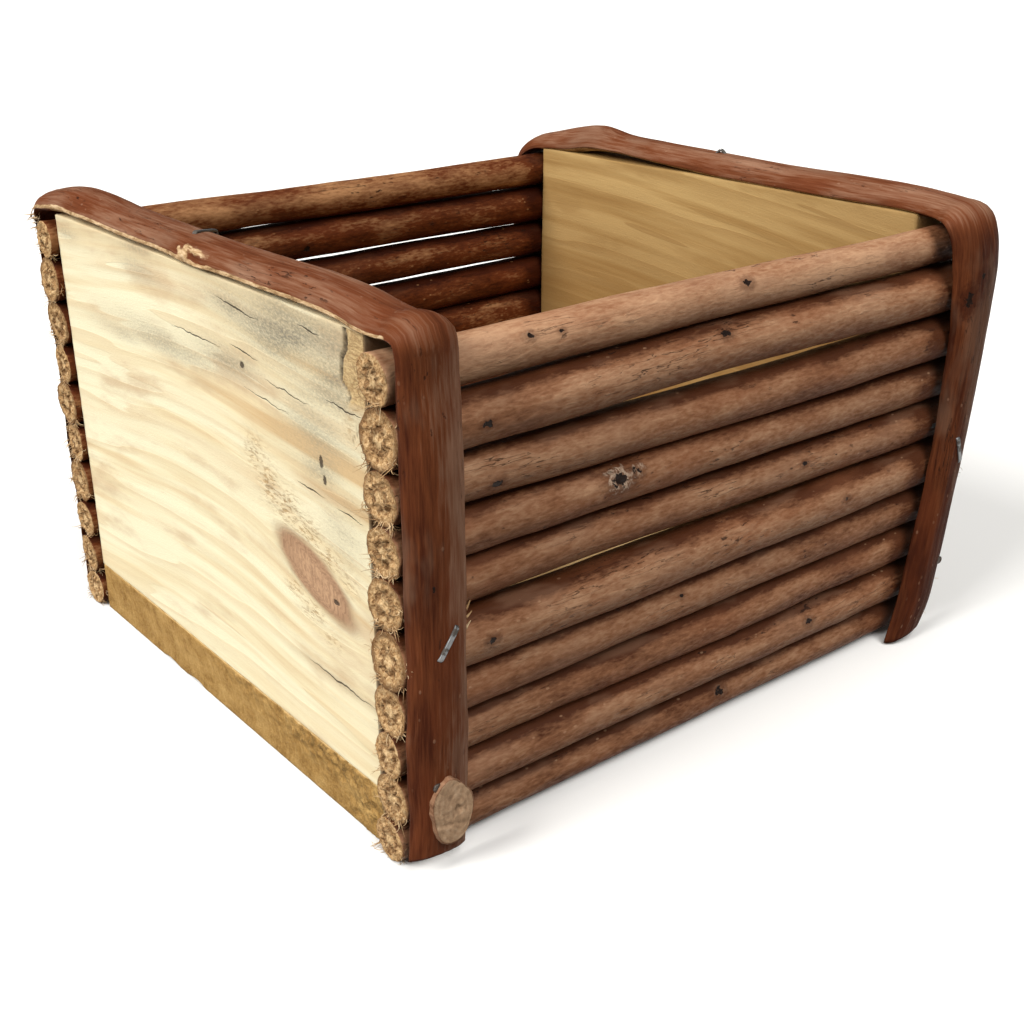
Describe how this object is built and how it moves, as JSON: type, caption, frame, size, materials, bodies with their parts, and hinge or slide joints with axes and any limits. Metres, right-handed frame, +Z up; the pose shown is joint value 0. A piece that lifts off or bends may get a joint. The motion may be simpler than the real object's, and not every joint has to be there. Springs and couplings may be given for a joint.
{
  "type": "insect hotel box",
  "caption": "Open-topped wooden box with walls of stacked willow rods between solid end boards, edged with bent split willow; a body for an insect hotel or garden planter.",
  "frame": {"origin": "middle of the base board's underside, on the surface the box stands on", "axes": "+X along the rods, from the left end board (the one whose strip carries the branch stub) to the right one; +Y from the front wall to the back wall; +Z up through the open top"},
  "size_m": [0.254, 0.2533, 0.1678],
  "materials": {
    "pine": "sawn, unfinished",
    "base_pine": "sawn, weathered golden brown",
    "willow": "natural bark, satin",
    "split_willow": "natural bark, pale split edges",
    "staple_steel": "bright wire",
    "dark_steel": "dark",
    "screw_steel": "yellow zinc"
  },
  "bodies": {
    "root": {"base_board": "base_pine", "end_board_left": "pine", "end_board_right": "pine", "front_rod_01": "willow", "front_rod_02": "willow", "front_rod_03": "willow", "front_rod_04": "willow", "front_rod_05": "willow", "front_rod_06": "willow", "front_rod_07": "willow", "front_rod_08": "willow", "front_rod_09": "willow", "front_rod_10": "willow", "back_rod_01": "willow", "back_rod_02": "willow", "back_rod_03": "willow", "back_rod_04": "willow", "back_rod_05": "willow", "back_rod_06": "willow", "back_rod_07": "willow", "back_rod_08": "willow", "back_rod_09": "willow", "back_rod_10": "willow", "edge_strip_left": "split_willow", "edge_strip_right": "split_willow", "rod_staples_front_left": "staple_steel", "rod_staples_front_right": "staple_steel", "rod_staples_back_left": "staple_steel", "rod_staples_back_right": "staple_steel", "strip_staples_left": "staple_steel", "strip_staples_right": "staple_steel", "strip_brads_left": "dark_steel", "strip_brads_right": "dark_steel", "base_screws_left": "screw_steel", "base_screws_right": "screw_steel"}
  },
  "joints": []
}
